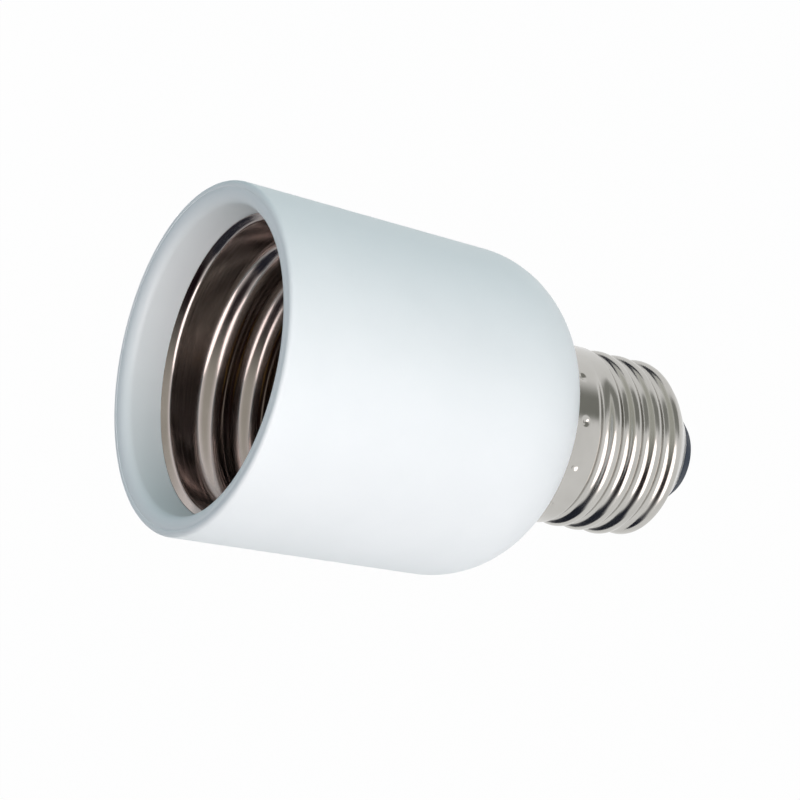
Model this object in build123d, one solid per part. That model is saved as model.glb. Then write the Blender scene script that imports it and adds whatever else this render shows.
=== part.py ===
"""Lamp socket adapter: a white moulded body with a small screw cap below and a large screw socket above.

The origin is at the tip of the small cap, on the axis. +Z runs up the axis and out of the large mouth.
All sizes are in millimetres.
"""
from build123d import *
import math
import os

os.makedirs("parts", exist_ok=True)

# Small screw cap, the 27 mm size: rolled sheet shell with a plain skirt above its thread
CAP_PITCH = 3.62
CAP_ROLLS = 4
CAP_CREST_RADIUS = 13.1
CAP_ROOT_RADIUS = 12.1
CAP_SHEET = 0.35
CAP_LIP_RADIUS = 9.4
CAP_LIP_Z = 4.3
CAP_FLARE_HEIGHT = 0.6
CAP_SKIRT_RADIUS = 12.75
CAP_SKIRT_HEIGHT = 5.4

# Tip of the small cap: insulator, contact plate with a riveted stem, solder
INSULATOR_EDGE_WALL = 0.75
INSULATOR_SEAT = 0.35
INSULATOR_RIM_HEIGHT = 2.4
INSULATOR_RIM_WALL = 2.2
INSULATOR_WEB = 5.75
PLATE_RADIUS = 4.8
PLATE_SHEET = 0.4
STEM_RADIUS = 1.7
STEM_WALL = 0.5
STEM_FLARE = 0.6
SOLDER_RADIUS = 2.4
SOLDER_HEIGHT = 0.35
SOLDER_PLUG = 1.85

# Moulded body, outside
BODY_LENGTH = 52.5
MOUTH_RADIUS = 24.2
SHOULDER_RADIUS = 23.4
SHOULDER_RISE = 2.6
NECK_RADIUS = 13.3
RIM_BEVEL = 0.5
SPIGOT_LENGTH = 13.6
COLLAR_HEIGHT = 5.0

# Moulded body, inside
RIM_CHAMFER = 0.7
MOUTH_BORE_RADIUS = 21.3
SOCKET_BORE_RADIUS = 20.8
RECESS_DEPTH = 5.8
LEDGE_DEPTH = 41.5
CHAMBER_RADIUS = 18.8
KNEE_RADIUS = 15.4
NECK_BORE_RADIUS = 9.2
BOSS_RADIUS = 3.0
BOSS_DROP = 10.0

# Heights in the chamber under the ledge, as shares of the height from the neck to the ledge
SIDE_SHARE = 0.68
KNEE_SHARE = 0.36
FLOOR_SHARE = 0.15

# Large screw socket, the 40 mm size: rolled sheet shell with a flared front and a bottom flange
SOCKET_PITCH = 6.35
SOCKET_ROLLS = 4
SOCKET_CREST_RADIUS = 18.05
SOCKET_ROOT_RADIUS = 19.95
SOCKET_SHEET = 0.5
SOCKET_FRONT_BAND = 3.4
SOCKET_BEAD = 0.25
SOCKET_FLARE = 0.55
SOCKET_FLANGE_RADIUS = 13.2

# Contact base with its island, contact spring and contact button
BASE_THICKNESS = 3.5
ISLAND_RADIUS = 12.0
ISLAND_HEIGHT = 1.2
SPRING_SHEET = 0.5
SPRING_WIDTH = 8.0
SPRING_BEND = 1.2
SPRING_RISE = 2.4
SPRING_REACH = 4.5
SPRING_END = 4.5
BUTTON_RADIUS = 3.2
BUTTON_EDGE = 1.1
BUTTON_CROWN = 0.5
BUTTON_STEM_RADIUS = 1.2
BUTTON_HEAD_RADIUS = 1.8
BUTTON_HEAD_HEIGHT = 0.5

# Rivets, solder tags and screws
RIVET_RADIUS = 1.4
RIVET_HEAD_RADIUS = 2.4
RIVET_HEAD_HEIGHT = 0.8
CONTACT_RIVET_RADIUS = 8.5
FIXING_CIRCLE_RADIUS = 15.6
TAG_SHEET = 0.5
TAG_WIDTH = 5.0
TAG_LENGTH = 7.3
TAG_DROP = 4.5
TAG_BEND = 0.9
SCREW_RADIUS = 1.5
SCREW_DEPTH = 6.0
SCREW_HEAD_RADIUS = 2.3
SCREW_HEAD_HEIGHT = 1.8
SCREW_SLOT_WIDTH = 0.8
SCREW_SLOT_DEPTH = 0.8

# Inner leads: insulated wire, bare at both ends
LEAD_RADIUS = 1.1
CORE_RADIUS = 0.5
LEAD_BARE_TOP = 6.0
LEAD_BARE_END = 3.0
BEND_SHARE = 0.45

# Clearances: pieces that slip together, and pieces with room to spare
SLIP = 0.05
LOOSE = 0.3

# Heights and radii that follow from the sizes above
plate_z = SOLDER_HEIGHT
insulator_z = plate_z + PLATE_SHEET
thread_z = CAP_LIP_Z + CAP_ROOT_RADIUS - CAP_LIP_RADIUS
flare_z = thread_z + CAP_ROLLS * CAP_PITCH
skirt_z = flare_z + CAP_FLARE_HEIGHT
neck_z = skirt_z + CAP_SKIRT_HEIGHT
spigot_z = neck_z - SPIGOT_LENGTH
mouth_z = neck_z + BODY_LENGTH
socket_front_z = mouth_z - RECESS_DEPTH
ledge_z = mouth_z - LEDGE_DEPTH
chamber_height = ledge_z - neck_z
shoulder_z = ledge_z + SHOULDER_RISE
base_z = ledge_z + BASE_THICKNESS
island_z = base_z + ISLAND_HEIGHT
flange_z = base_z + SOCKET_SHEET
cap_inner_radius = CAP_ROOT_RADIUS - CAP_SHEET
spigot_radius = cap_inner_radius - 3 * SLIP
spring_top_z = island_z + SPRING_RISE + SPRING_SHEET


def turned(outline):
    """Turn a closed outline, drawn as radius across and height up, about the axis."""
    return revolve(Plane.XZ * make_face(outline), Axis.Z)


def outline(*points):
    """A closed outline of straight lines through (radius, height) points."""
    return Polyline(*points, close=True)


def rod(radius, low, high, x=0, y=0):
    """A round bar along Z between two heights."""
    return Pos(x, y, low) * extrude(Circle(radius), high - low)


def rolls(first_z, count, pitch, crest_radius, root_radius):
    """Section of a rolled thread: flanks at 45 degrees between equal lands on its crests and roots."""
    depth = abs(crest_radius - root_radius)
    land = pitch / 2 - depth
    points = []
    for index in range(count):
        low = first_z + index * pitch
        points.append((root_radius, low + land / 2))
        points.append((crest_radius, low + land / 2 + depth))
        points.append((crest_radius, low + land * 1.5 + depth))
        points.append((root_radius, low + land * 1.5 + 2 * depth))
    return points


def bent_strip(points, bend, sheet, width):
    """A strip of sheet bent along a line in the XZ plane, the line being the middle of the sheet."""
    line = FilletPolyline(*[(x, 0, z) for x, z in points], radius=bend)
    section = Plane(line @ 0, x_dir=(0, 1, 0), z_dir=line % 0) * Rectangle(width, sheet)
    return sweep(section, line)


def rivet(low, high, x=0, y=0):
    """A solid rivet clamping everything between two heights, with a flat head at each end."""
    shank = rod(RIVET_RADIUS, low, high, x, y)
    lower_head = rod(RIVET_HEAD_RADIUS, low - RIVET_HEAD_HEIGHT, low, x, y)
    upper_head = rod(RIVET_HEAD_RADIUS, high, high + RIVET_HEAD_HEIGHT, x, y)
    return shank + lower_head + upper_head


def solder_tag(rivet_radius):
    """A tag riveted under the base at a radius on -X, running inwards and bent down."""
    mid_z = ledge_z - TAG_SHEET / 2
    bend_x = TAG_LENGTH - rivet_radius
    corners = [(-rivet_radius - TAG_WIDTH / 2, mid_z), (bend_x, mid_z), (bend_x, ledge_z - TAG_DROP)]
    strip = bent_strip(corners, TAG_BEND, TAG_SHEET, TAG_WIDTH)
    return strip - rod(RIVET_RADIUS + SLIP, ledge_z - 2 * TAG_SHEET, ledge_z + TAG_SHEET, -rivet_radius)


def easy_bend(points):
    """The largest bend radius that the runs between the points leave room for."""
    radii = []
    for before, corner, after in zip(points, points[1:], points[2:]):
        arriving = Vector(corner) - Vector(before)
        leaving = Vector(after) - Vector(corner)
        half_turn = math.radians(arriving.get_angle(leaving)) / 2
        radii.append(BEND_SHARE * min(arriving.length, leaving.length) / math.tan(half_turn))
    return min(radii)


def wire(points, bend, radius):
    """A round wire along straight runs joined by arcs."""
    path = FilletPolyline(*points, radius=bend)
    return sweep(Plane(path @ 0, z_dir=path % 0) * Circle(radius), path)


def fixing_points():
    """The two screws, either side of the axis on X."""
    return [(FIXING_CIRCLE_RADIUS, 0), (-FIXING_CIRCLE_RADIUS, 0)]


def lead_start_radius(rivet_radius):
    """Distance from the axis to a core soldered on the inner face of a tag."""
    return rivet_radius - TAG_LENGTH - TAG_SHEET / 2 - CORE_RADIUS


# Moulded body: a cup that tapers to a rounded shoulder, with a spigot inside the small cap
def make_housing():
    collar_radius = CAP_SKIRT_RADIUS - CAP_SHEET - SLIP
    step = SHOULDER_RADIUS - NECK_RADIUS
    shoulder_arc = (step**2 + (shoulder_z - neck_z) ** 2) / (2 * step)
    neck_angle = math.degrees(math.acos(1 - step / shoulder_arc))
    spigot = Polyline(
        (0, spigot_z),
        (spigot_radius, spigot_z),
        (spigot_radius, neck_z - COLLAR_HEIGHT),
        (collar_radius, neck_z - COLLAR_HEIGHT + collar_radius - spigot_radius),
        (collar_radius, neck_z),
        (NECK_RADIUS, neck_z),
    )
    shoulder = CenterArc((SHOULDER_RADIUS - shoulder_arc, shoulder_z), shoulder_arc, -neck_angle, neck_angle)
    side = Polyline(
        (SHOULDER_RADIUS, shoulder_z),
        (MOUTH_RADIUS, mouth_z - RIM_BEVEL),
        (MOUTH_RADIUS - RIM_BEVEL, mouth_z),
        (0, mouth_z),
        (0, spigot_z),
    )
    outside = turned(spigot + shoulder + side)
    inside = turned(
        outline(
            (0, spigot_z),
            (NECK_BORE_RADIUS, spigot_z),
            (NECK_BORE_RADIUS, neck_z + FLOOR_SHARE * chamber_height),
            (KNEE_RADIUS, neck_z + KNEE_SHARE * chamber_height),
            (CHAMBER_RADIUS, neck_z + SIDE_SHARE * chamber_height),
            (CHAMBER_RADIUS, ledge_z),
            (SOCKET_BORE_RADIUS, ledge_z),
            (SOCKET_BORE_RADIUS, socket_front_z),
            (MOUTH_BORE_RADIUS, mouth_z - RIM_CHAMFER),
            (MOUTH_BORE_RADIUS + RIM_CHAMFER, mouth_z),
            (0, mouth_z),
        )
    )
    body = outside - inside
    for x, y in fixing_points():
        body += rod(BOSS_RADIUS, ledge_z - BOSS_DROP, ledge_z, x, y) & outside
    for x, y in fixing_points():
        body -= rod(SCREW_RADIUS + SLIP, ledge_z - SCREW_DEPTH - LOOSE, ledge_z, x, y)
    return body


# Large screw shell: thread on the inside, flared bead at the front, flange at the bottom
def make_socket_shell():
    outer_radius = SOCKET_ROOT_RADIUS + SOCKET_SHEET
    thread_top_z = socket_front_z - SOCKET_FRONT_BAND
    first_z = thread_top_z - SOCKET_ROLLS * SOCKET_PITCH
    thread = rolls(first_z, SOCKET_ROLLS, SOCKET_PITCH, SOCKET_CREST_RADIUS, SOCKET_ROOT_RADIUS)
    shell = turned(
        outline(
            (SOCKET_FLANGE_RADIUS, base_z),
            (outer_radius, base_z),
            (outer_radius, socket_front_z - SOCKET_SHEET),
            (outer_radius + SOCKET_BEAD, socket_front_z - SOCKET_SHEET),
            (outer_radius + SOCKET_BEAD, socket_front_z),
            (SOCKET_ROOT_RADIUS + SOCKET_FLARE, socket_front_z),
            (SOCKET_ROOT_RADIUS, socket_front_z - SOCKET_FLARE),
            *reversed(thread),
            (SOCKET_ROOT_RADIUS, flange_z),
            (SOCKET_FLANGE_RADIUS, flange_z),
        )
    )
    for x, y in fixing_points():
        shell -= rod(SCREW_RADIUS + LOOSE, base_z, flange_z, x, y)
    return shell - rod(RIVET_RADIUS + SLIP, base_z, flange_z, 0, -FIXING_CIRCLE_RADIUS)


# Insulating base under the large shell, with a raised island for the centre contact
def make_contact_base():
    base = rod(SOCKET_BORE_RADIUS - LOOSE, ledge_z, base_z) + rod(ISLAND_RADIUS, base_z, island_z)
    for x, y in fixing_points():
        base -= rod(SCREW_RADIUS + LOOSE, ledge_z, base_z, x, y)
    base -= rod(RIVET_RADIUS + SLIP, ledge_z, island_z, -CONTACT_RIVET_RADIUS)
    return base - rod(RIVET_RADIUS + SLIP, ledge_z, base_z, 0, -FIXING_CIRCLE_RADIUS)


# Screws that hold the shell and the base down on the bosses
def make_base_screws():
    screws = []
    for x, y in fixing_points():
        head_z = flange_z + SCREW_HEAD_HEIGHT
        screw = rod(SCREW_RADIUS, ledge_z - SCREW_DEPTH, flange_z, x, y)
        screw += rod(SCREW_HEAD_RADIUS, flange_z, head_z, x, y)
        slot = Box(2 * SCREW_HEAD_RADIUS, SCREW_SLOT_WIDTH, 2 * SCREW_SLOT_DEPTH)
        screws.append(screw - Pos(x, y, head_z) * slot)
    return Compound(children=screws)


# Leaf spring of the centre contact: a riveted foot, a rising arm and a level end
def make_contact_spring():
    low_z = island_z + SPRING_SHEET / 2
    high_z = low_z + SPRING_RISE
    corners = [
        (-CONTACT_RIVET_RADIUS - RIVET_HEAD_RADIUS, low_z),
        (-SPRING_REACH - SPRING_BEND, low_z),
        (-BUTTON_RADIUS + SPRING_BEND / 2, high_z),
        (SPRING_END, high_z),
    ]
    strip = bent_strip(corners, SPRING_BEND, SPRING_SHEET, SPRING_WIDTH)
    strip -= rod(RIVET_RADIUS + SLIP, island_z, island_z + SPRING_SHEET, -CONTACT_RIVET_RADIUS)
    return strip - rod(BUTTON_STEM_RADIUS + SLIP, spring_top_z - SPRING_SHEET, spring_top_z)


# Contact button headed over in the end of the leaf spring
def make_contact_button():
    under_z = spring_top_z - SPRING_SHEET
    edge_z = spring_top_z + BUTTON_EDGE
    return turned(
        outline(
            (0, under_z - BUTTON_HEAD_HEIGHT),
            (BUTTON_HEAD_RADIUS, under_z - BUTTON_HEAD_HEIGHT),
            (BUTTON_HEAD_RADIUS, under_z),
            (BUTTON_STEM_RADIUS, under_z),
            (BUTTON_STEM_RADIUS, spring_top_z),
            (BUTTON_RADIUS, spring_top_z),
            (BUTTON_RADIUS, edge_z),
            (BUTTON_RADIUS - 2 * BUTTON_CROWN, edge_z + BUTTON_CROWN),
            (0, edge_z + BUTTON_CROWN),
        )
    )


# Small screw shell: thread on the outside, plain skirt above, lip turned in below
def make_cap_shell():
    skirt_inner = CAP_SKIRT_RADIUS - CAP_SHEET
    lip_end = CAP_SHEET * math.sqrt(2)
    thread = rolls(thread_z, CAP_ROLLS, CAP_PITCH, CAP_CREST_RADIUS, CAP_ROOT_RADIUS)
    return turned(
        outline(
            (CAP_LIP_RADIUS, CAP_LIP_Z),
            (CAP_ROOT_RADIUS, thread_z),
            *thread,
            (CAP_ROOT_RADIUS, flare_z),
            (CAP_SKIRT_RADIUS, skirt_z),
            (CAP_SKIRT_RADIUS, neck_z),
            (skirt_inner, neck_z),
            (skirt_inner, skirt_z),
            (cap_inner_radius, flare_z),
            (cap_inner_radius, CAP_LIP_Z + lip_end + cap_inner_radius - CAP_LIP_RADIUS),
            (CAP_LIP_RADIUS, CAP_LIP_Z + lip_end),
        )
    )


# Black insulator held by the turned-in lip of the small shell, with a seat for the contact plate
def make_cap_insulator():
    lip_top_z = CAP_LIP_Z + CAP_SHEET * math.sqrt(2)
    cone_radius = CAP_LIP_RADIUS - SLIP
    rim_radius = cap_inner_radius - SLIP
    rim_z = lip_top_z + rim_radius - cone_radius
    bore_radius = STEM_RADIUS + SLIP
    seat_radius = PLATE_RADIUS + SLIP
    edge_z = insulator_z - INSULATOR_SEAT
    web_z = insulator_z + INSULATOR_WEB
    return turned(
        outline(
            (bore_radius, insulator_z),
            (seat_radius, insulator_z),
            (seat_radius, edge_z),
            (seat_radius + INSULATOR_EDGE_WALL, edge_z),
            (cone_radius, CAP_LIP_Z),
            (cone_radius, lip_top_z),
            (rim_radius, rim_z),
            (rim_radius, rim_z + INSULATOR_RIM_HEIGHT),
            (rim_radius - INSULATOR_RIM_WALL, rim_z + INSULATOR_RIM_HEIGHT),
            (rim_radius - INSULATOR_RIM_WALL, web_z),
            (bore_radius, web_z),
        )
    )


# Tip contact: a plate with a hollow stem, flared over on the inside of the insulator
def make_cap_contact():
    bore_radius = STEM_RADIUS - STEM_WALL
    web_z = insulator_z + INSULATOR_WEB
    return turned(
        outline(
            (bore_radius, plate_z),
            (PLATE_RADIUS, plate_z),
            (PLATE_RADIUS, insulator_z),
            (STEM_RADIUS, insulator_z),
            (STEM_RADIUS, web_z),
            (STEM_RADIUS + STEM_FLARE, web_z),
            (STEM_RADIUS + STEM_FLARE, web_z + STEM_WALL),
            (bore_radius, web_z + STEM_WALL),
        )
    )


# Solder that closes the stem and stands out as the tip
def make_tip_solder():
    bore_radius = STEM_RADIUS - STEM_WALL
    sphere_radius = (SOLDER_RADIUS**2 + SOLDER_HEIGHT**2) / (2 * SOLDER_HEIGHT)
    dome = Pos(0, 0, sphere_radius) * Sphere(sphere_radius)
    dome &= rod(SOLDER_RADIUS, 0, SOLDER_HEIGHT)
    return dome + rod(bore_radius, plate_z, plate_z + SOLDER_PLUG)


# Live lead: from the centre contact's tag down to the tip solder
def make_live_lead():
    start = -lead_start_radius(CONTACT_RIVET_RADIUS)
    top_z = ledge_z - TAG_SHEET - TAG_BEND
    cover_top_z = top_z - LEAD_BARE_TOP
    cover_end_z = insulator_z + INSULATOR_WEB + LEAD_BARE_END
    third = (cover_top_z - cover_end_z) / 3
    corners = [(start, 0, cover_end_z + 2 * third), (0, 0, cover_end_z + third)]
    cover = [(start, 0, cover_top_z), *corners, (0, 0, cover_end_z)]
    core = [(start, 0, top_z), *corners, (0, 0, plate_z + SOLDER_PLUG)]
    bend = easy_bend(cover)
    return wire(core, bend, CORE_RADIUS) + wire(cover, bend, LEAD_RADIUS)


# Neutral lead: from the shell's tag down the neck, then out under the spigot to the small shell
def make_neutral_lead():
    start = -lead_start_radius(FIXING_CIRCLE_RADIUS)
    top_z = ledge_z - TAG_SHEET - TAG_BEND
    turn_z = spigot_z + LEAD_RADIUS
    end_radius = cap_inner_radius - SLIP - CORE_RADIUS
    core = [(0, start, top_z), (0, start, turn_z), (0, -end_radius, turn_z - end_radius - start)]
    cover = rod(LEAD_RADIUS, turn_z + LEAD_BARE_END, top_z - LEAD_BARE_TOP, 0, start)
    return wire(core, easy_bend(core), CORE_RADIUS) + cover


contact_rivet = rivet(ledge_z - TAG_SHEET, island_z + SPRING_SHEET, -CONTACT_RIVET_RADIUS)
shell_rivet = rivet(ledge_z - TAG_SHEET, flange_z, 0, -FIXING_CIRCLE_RADIUS)

nodes = {
    "housing": make_housing(),
    "socket_shell": make_socket_shell(),
    "contact_base": make_contact_base(),
    "base_screws": make_base_screws(),
    "contact_spring": make_contact_spring(),
    "contact_button": make_contact_button(),
    "contact_rivet": contact_rivet,
    "contact_tag": solder_tag(CONTACT_RIVET_RADIUS),
    "shell_rivet": shell_rivet,
    "shell_tag": Rot(0, 0, 90) * solder_tag(FIXING_CIRCLE_RADIUS),
    "live_lead": make_live_lead(),
    "neutral_lead": make_neutral_lead(),
    "cap_shell": make_cap_shell(),
    "cap_insulator": make_cap_insulator(),
    "cap_contact": make_cap_contact(),
    "tip_solder": make_tip_solder(),
}

for name, solid in nodes.items():
    export_step(solid, f"parts/{name}.step")
    print(name, round(solid.volume, 1), "cubic mm")
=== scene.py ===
# %% [markdown]
# # A lamp socket adapter, dressed for the studio
# The adapter screws into a small lamp holder and offers a larger one. It comes from the drawing office as
# plain solids, which are loaded here as a fixed frame. Everything below sits in that frame, so no piece
# needs fitting: the Z axis is the adapter's own axis, the tip of the small cap is at the origin and the
# mouth looks up.

# %% Load the frame
import math

import bmesh
import bpy
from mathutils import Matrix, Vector


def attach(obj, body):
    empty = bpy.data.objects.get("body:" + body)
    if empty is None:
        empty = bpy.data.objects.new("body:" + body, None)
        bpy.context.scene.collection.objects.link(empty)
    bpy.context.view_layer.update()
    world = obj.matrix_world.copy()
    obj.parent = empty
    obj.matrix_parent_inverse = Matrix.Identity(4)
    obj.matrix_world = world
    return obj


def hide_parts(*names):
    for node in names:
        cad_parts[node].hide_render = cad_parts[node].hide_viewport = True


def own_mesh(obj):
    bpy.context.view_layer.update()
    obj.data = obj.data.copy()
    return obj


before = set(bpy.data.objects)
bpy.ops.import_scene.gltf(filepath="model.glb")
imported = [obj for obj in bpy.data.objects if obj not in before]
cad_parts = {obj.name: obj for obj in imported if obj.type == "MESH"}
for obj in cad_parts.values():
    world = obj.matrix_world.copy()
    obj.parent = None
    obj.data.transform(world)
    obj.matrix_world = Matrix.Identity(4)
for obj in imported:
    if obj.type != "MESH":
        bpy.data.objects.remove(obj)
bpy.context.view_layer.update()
scene = bpy.context.scene
scene.view_settings.view_transform = "Standard"
MM = 0.001

# %% [markdown]
# ## Camera
# The adapter lies across the picture with its mouth to the left and towards the viewer. The camera could be
# aimed by eye, but the ellipses of the mouth and of the cap fix it: they give the distance, the turn and a
# lens of about 116 mm, which is a usual length for pictures of small goods.

# %% Place the camera
camera = bpy.data.objects.new("camera", bpy.data.cameras.new("camera"))
camera.data.lens = 116.28
camera.location = Vector((-6.0, -307.64, 235.03)) * MM
camera.rotation_euler = [math.radians(turn) for turn in (18.979, 56.643, -68.755)]
scene.collection.objects.link(camera)
scene.camera = camera
print("camera at", [round(v, 4) for v in camera.location])

# %% [markdown]
# ## Helpers for node trees
# Materials and shape rules are both node trees. One function adds a node, sets it up and links it, so that
# each line of a tree reads as one step. Colours are written as they look on a screen, in hex, and turned
# into the linear values that light is reckoned in. On a real surface one pattern shows in several ways at
# once, because whatever marks the skin changes its colour, its polish and its relief together. Two
# functions tie a pattern to those.

# %% Node and colour helpers
def linear(hex_colour):
    """Linear red, green, blue and alpha of an sRGB hex colour."""
    channels = [int(hex_colour[i : i + 2], 16) / 255 for i in (1, 3, 5)]
    return [c / 12.92 if c <= 0.04045 else ((c + 0.055) / 1.055) ** 2.4 for c in channels] + [1.0]


def add_node(tree, kind, feeds=(), **settings):
    """Add a node, set it up, and feed its sockets with values or with the sockets of other nodes."""
    node = tree.nodes.new(kind)
    for name, value in settings.items():
        setattr(node, name, value)
    for socket, source in dict(feeds).items():
        if isinstance(source, bpy.types.NodeSocket):
            tree.links.new(source, node.inputs[socket])
        else:
            node.inputs[socket].default_value = source
    return node


print("white is", [round(c, 3) for c in linear("#FFFFFF")])

# %% Finish helpers
def new_finish(name, **values):
    """A material of one surface shader; returns its tree, the shader and the object's own coordinates."""
    material = bpy.data.materials.new(name)
    material.use_nodes = True
    tree = material.node_tree
    shader = tree.nodes["Principled BSDF"]
    for socket, value in values.items():
        shader.inputs[socket.replace("_", " ")].default_value = value
    place = add_node(tree, "ShaderNodeTexCoord").outputs["Object"]
    return material, tree, shader, place


def mottle(tree, shader, pattern, tones, swing, polish):
    """Let a pattern mix two tones and, as it swings between two values, change the roughness."""
    dark, light = [linear(hex_colour) for hex_colour in tones]
    tone = add_node(tree, "ShaderNodeMix", {0: pattern, 6: dark, 7: light}, data_type="RGBA")
    tree.links.new(tone.outputs[2], shader.inputs["Base Color"])
    gloss = add_node(tree, "ShaderNodeMapRange",
                     {0: pattern, 1: swing[0], 2: swing[1], 3: polish[0], 4: polish[1]})
    tree.links.new(gloss.outputs[0], shader.inputs["Roughness"])


def emboss(tree, shader, pattern, strength, depth):
    """Let a pattern stand out as relief of a depth in mm."""
    relief = add_node(tree, "ShaderNodeBump",
                      {"Height": pattern, "Strength": strength, "Distance": depth * MM})
    tree.links.new(relief.outputs["Normal"], shader.inputs["Normal"])


print("finishes can be mottled and embossed")

# %% [markdown]
# ## White moulding
# The body is injection moulded in white polyester (PBT), a plastic that stands the heat of a lamp. The
# mould was finely blasted, so the skin is satin: a soft broad sheen, a grain too fine to see one by one,
# and flow marks that make the sheen drift a little from place to place. Plain white paint would be flat, so
# the grain goes into the bump and the drift into both colour and roughness.

# %% White moulding
white_moulding, tree, shader, place = new_finish("moulded_white_polyester", IOR=1.52)
drift = add_node(tree, "ShaderNodeTexNoise", {"Vector": place, "Scale": 1 / (14 * MM), "Detail": 3.0})
mottle(tree, shader, drift.outputs[0], ("#EDEFF1", "#F6F7F9"), swing=(0.3, 0.7), polish=(0.36, 0.46))
# Real blasted grain is about 0.05 mm fine; 0.35 mm is as fine as shows here.
grain = add_node(tree, "ShaderNodeTexNoise", {"Vector": place, "Scale": 1 / (0.35 * MM), "Detail": 2.0})
emboss(tree, shader, grain.outputs[0], strength=0.06, depth=0.02)
print("finish:", white_moulding.name)

# %% [markdown]
# ## Nickel plate
# Both screw shells are drawn and rolled from thin brass sheet and then nickel plated. Nickel is a slightly
# warm, slightly dark metal. The rolls drag along the sheet, so it carries fine rings that run round the
# axis, and handling leaves cloudy patches. Squeezing a noise along the axis and stretching it across gives
# such rings. In the large shell the plate is taken to be thin over a copper flash, because what its walls
# mirror of each other turns brown.

# %% Nickel plate
plates = []
for name, dull, bright in (("nickel_plated_sheet", "#B3B1AC", "#C8C6C2"),
                           ("thin_nickel_on_coppered_sheet", "#AFA5A1", "#C4BAB6")):
    plate, tree, shader, place = new_finish(name, Metallic=1.0)
    # Marks of real rolls are about 0.05 mm apart; 0.22 mm is as fine as shows here.
    squeeze = add_node(tree, "ShaderNodeMapping",
                       {"Vector": place, "Scale": (1 / (9 * MM), 1 / (9 * MM), 1 / (0.22 * MM))})
    rings = add_node(tree, "ShaderNodeTexNoise", {"Vector": squeeze.outputs[0], "Scale": 1.0, "Detail": 3.0})
    clouds = add_node(tree, "ShaderNodeTexNoise", {"Vector": place, "Scale": 1 / (5 * MM), "Detail": 4.0})
    tone = add_node(tree, "ShaderNodeMix", {0: clouds.outputs[0], 6: linear(dull), 7: linear(bright)},
                    data_type="RGBA")
    tree.links.new(tone.outputs[2], shader.inputs["Base Color"])
    both = add_node(tree, "ShaderNodeMath", {0: rings.outputs[0], 1: clouds.outputs[0]}, operation="ADD")
    polish = add_node(tree, "ShaderNodeMapRange", {0: both.outputs[0], 1: 0.7, 2: 1.3, 3: 0.10, 4: 0.26})
    tree.links.new(polish.outputs[0], shader.inputs["Roughness"])
    emboss(tree, shader, rings.outputs[0], strength=0.15, depth=0.02)
    plates.append(plate)
nickel, thin_nickel = plates
print("finishes:", nickel.name, thin_nickel.name)

# %% [markdown]
# ## Small metals, insulator and wire
# The contact parts are stamped brass, dulled a little by air and fingers. The screws are zinc plated steel,
# bluish and finely speckled. The tip is a bead of tin solder, which sets with a dull, slightly crystalline
# skin. The insulator of the small cap is a black fused fill with a skin dulled by the mould, so it is satin
# with a faint ripple, and the base of the socket is a brown phenolic, filled with wood flour that gives it
# a grain. Each gets its own scale of pattern, because on small parts that is what tells one from the next.

# %% Contact brass
brass, tree, shader, place = new_finish("stamped_brass", Metallic=1.0)
tarnish = add_node(tree, "ShaderNodeTexNoise", {"Vector": place, "Scale": 1 / (2.5 * MM), "Detail": 5.0})
mottle(tree, shader, tarnish.outputs[0], ("#B9924F", "#DDBE7E"), swing=(0.35, 0.65), polish=(0.34, 0.2))
# Real brush lines are about 0.03 mm apart; 0.12 mm is as fine as shows here.
brush = add_node(tree, "ShaderNodeMapping",
                 {"Vector": place, "Scale": (1 / (3 * MM), 1 / (0.12 * MM), 1 / (3 * MM))})
lines = add_node(tree, "ShaderNodeTexNoise", {"Vector": brush.outputs[0], "Scale": 1.0, "Detail": 2.0})
emboss(tree, shader, lines.outputs[0], strength=0.12, depth=0.02)
print("finish:", brass.name)

# %% Zinc plated steel
zinc, tree, shader, place = new_finish("zinc_plated_steel", Metallic=1.0)
speckle = add_node(tree, "ShaderNodeTexVoronoi", {"Vector": place, "Scale": 1 / (0.4 * MM)})
mottle(tree, shader, speckle.outputs[0], ("#C9CDD2", "#A9AEB6"), swing=(0.0, 0.8), polish=(0.24, 0.4))
print("finish:", zinc.name)

# %% Tin solder
solder, tree, shader, place = new_finish("tin_solder", Metallic=1.0)
crystals = add_node(tree, "ShaderNodeTexVoronoi", {"Vector": place, "Scale": 1 / (0.5 * MM)},
                    feature="SMOOTH_F1")
mottle(tree, shader, crystals.outputs[0], ("#D3D4D2", "#AEB0AF"), swing=(0.0, 0.7), polish=(0.28, 0.5))
emboss(tree, shader, crystals.outputs[0], strength=0.3, depth=0.05)
print("finish:", solder.name)

# %% Black glass fill
black_glass, tree, shader, place = new_finish("black_glass_fill", IOR=1.5, Specular_IOR_Level=0.1)
ripple = add_node(tree, "ShaderNodeTexNoise", {"Vector": place, "Scale": 1 / (2 * MM), "Detail": 3.0})
mottle(tree, shader, ripple.outputs[0], ("#101A28", "#1E2E42"), swing=(0.3, 0.7), polish=(0.45, 0.6))
emboss(tree, shader, ripple.outputs[0], strength=0.15, depth=0.1)
print("finish:", black_glass.name)

# %% Brown base moulding
phenolic, tree, shader, place = new_finish("moulded_brown_phenolic", IOR=1.5)
# Real wood flour is about 0.2 mm fine; 0.6 mm is as fine as shows here.
filler = add_node(tree, "ShaderNodeTexNoise", {"Vector": place, "Scale": 1 / (0.6 * MM), "Detail": 4.0})
mottle(tree, shader, filler.outputs[0], ("#3C1F19", "#5C3328"), swing=(0.3, 0.7), polish=(0.5, 0.65))
emboss(tree, shader, filler.outputs[0], strength=0.15, depth=0.03)
print("finish:", phenolic.name)

# %% [markdown]
# ## A rule for turned pieces
# Almost every piece of an adapter is round about one axis. A Screw modifier could spin an outline, but a
# rule in Geometry Nodes keeps the number of segments as a named input, and further rules can then work the
# turned wall. The outline's points become the rows of a grid, and each column of the grid is the outline
# turned a step further.

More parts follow.
